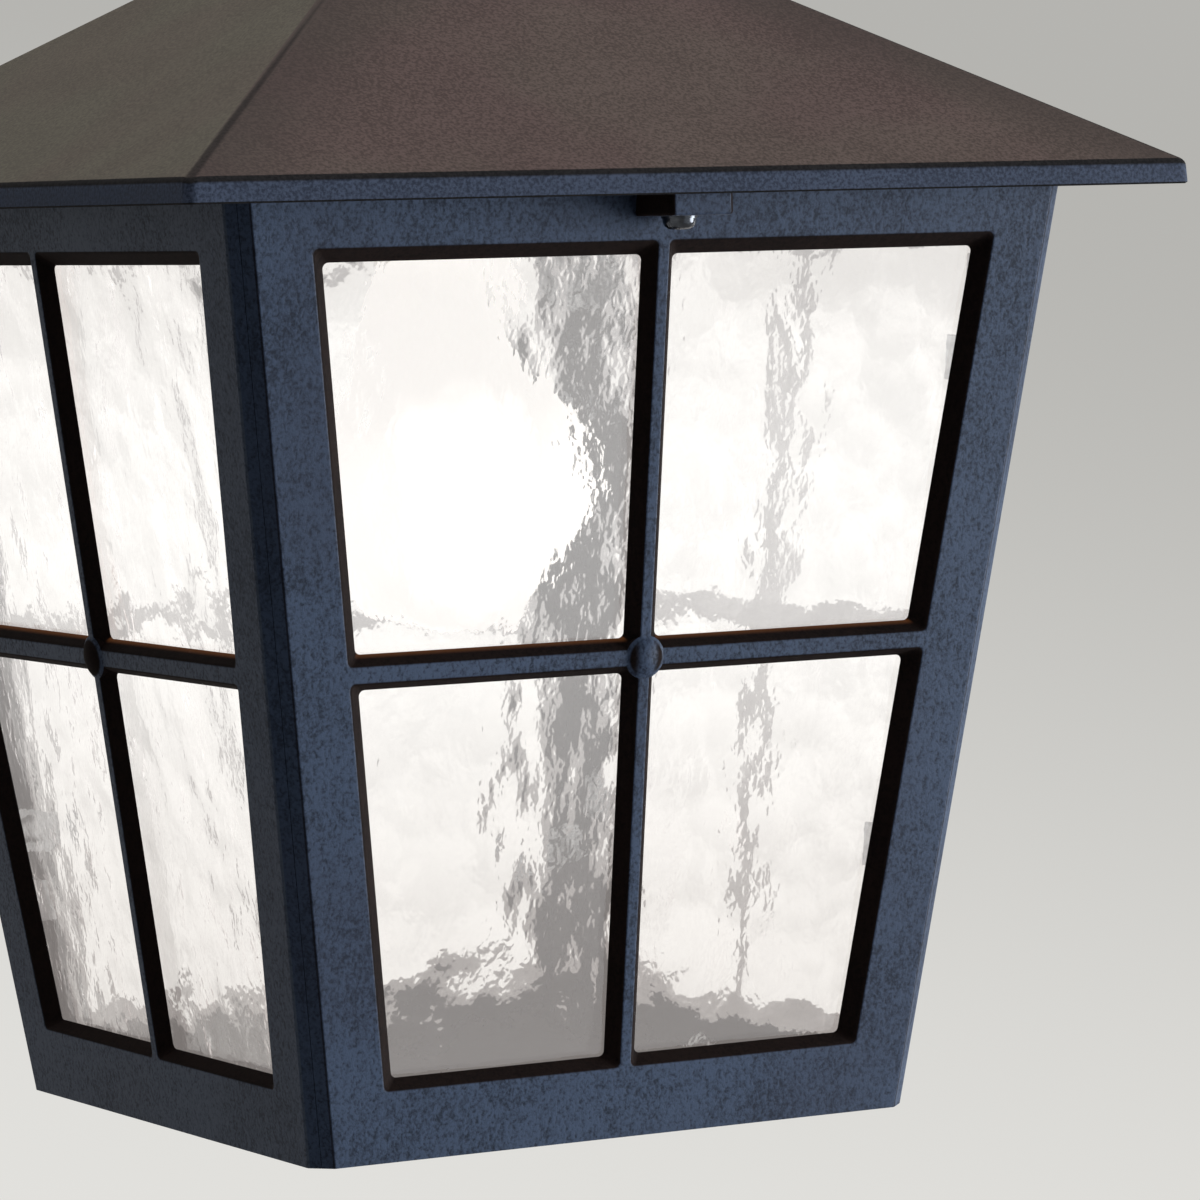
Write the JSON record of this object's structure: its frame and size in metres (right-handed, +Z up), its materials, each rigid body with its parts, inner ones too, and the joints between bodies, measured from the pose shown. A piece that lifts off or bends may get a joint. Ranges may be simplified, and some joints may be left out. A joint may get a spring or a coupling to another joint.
{
  "type": "outdoor pendant light",
  "caption": "Square tapered hanging lantern with cast frames and rippled glass under a pyramid roof; undo the catch screw and the body swings down on a rear hinge to change the lamp.",
  "frame": {"origin": "centre of the hanging eye's bore, on the lantern's vertical axis", "axes": "+Z up, -Y towards the front with the catch screw, +Y along the eye's bore"},
  "size_m": [0.2258, 0.2258, 0.3013],
  "materials": {
    "roof_paint": "matte",
    "body_paint": "matte",
    "glass": "gloss",
    "rubber": "matte",
    "iron": "matte",
    "brass": "satin",
    "zinc": "satin",
    "nickel": "polished",
    "dark_steel": "polished",
    "holder_dome": "satin",
    "porcelain": "gloss",
    "insulator": "gloss",
    "lamp_cap": "satin",
    "bulb": "satin"
  },
  "bodies": {
    "roof_group": {"roof": "roof_paint", "roof_gasket": "rubber", "top_cap": "roof_paint", "cap_washer": "rubber", "hanging_loop": "iron", "cable_bush": "rubber", "stem": "brass", "stem_nut": "zinc", "holder_dome": "holder_dome", "holder_core": "porcelain", "holder_shell": "brass", "holder_contact": "brass", "holder_skirt": "porcelain", "earth_screw": "brass", "catch_insert": "brass", "hinge_pin": "nickel"},
    "lantern_body": {"side_front": "body_paint", "glass_front": "glass", "seal_front": "rubber", "clips_front": "zinc", "side_right": "body_paint", "glass_right": "glass", "seal_right": "rubber", "clips_right": "zinc", "side_back": "body_paint", "glass_back": "glass", "seal_back": "rubber", "clips_back": "zinc", "side_left": "body_paint", "glass_left": "glass", "seal_left": "rubber", "clips_left": "zinc", "bracket_front_left": "zinc", "bracket_front_right": "zinc", "bracket_back_right": "zinc", "bracket_back_left": "zinc", "clip_screws": "zinc", "bracket_screws": "zinc", "base_plate": "body_paint", "base_screws": "zinc"},
    "catch_travel_part": {"catch_washer": "dark_steel"},
    "catch_turn_part": {"catch_screw": "dark_steel"},
    "lamp_travel_part": {"lamp_contact": "insulator"},
    "lamp_turn_part": {"lamp_cap": "lamp_cap", "lamp_bulb": "bulb"}
  },
  "joints": [
    {"name": "body_hinge", "type": "hinge", "parent": "roof_group", "child": "lantern_body", "pos_m": [0, 0.1005, -0.09541], "axis": [1, 0, 0], "range_deg": [0, 90]},
    {"name": "catch_travel", "type": "slide", "parent": "lantern_body", "child": "catch_travel_part", "axis": [0, 0, -1], "range_m": [0, 0.0068]},
    {"name": "catch_turn", "type": "hinge", "parent": "catch_travel_part", "child": "catch_turn_part", "pos_m": [0, -0.0996, -0.10192], "axis": [0, 0, -1], "range_deg": [0, 3500]},
    {"name": "lamp_travel", "type": "slide", "parent": "roof_group", "child": "lamp_travel_part", "axis": [0, 0, -1], "range_m": [0, 0.0181]},
    {"name": "lamp_turn", "type": "hinge", "parent": "lamp_travel_part", "child": "lamp_turn_part", "pos_m": [0, 0, -0.09692], "axis": [0, 0, -1], "range_deg": [0, 1802]}
  ],
  "couplings": [
    {"joint": "catch_turn", "follows": "catch_travel", "rad_per_m": 8976},
    {"joint": "lamp_turn", "follows": "lamp_travel", "rad_per_m": 1735.7}
  ]
}
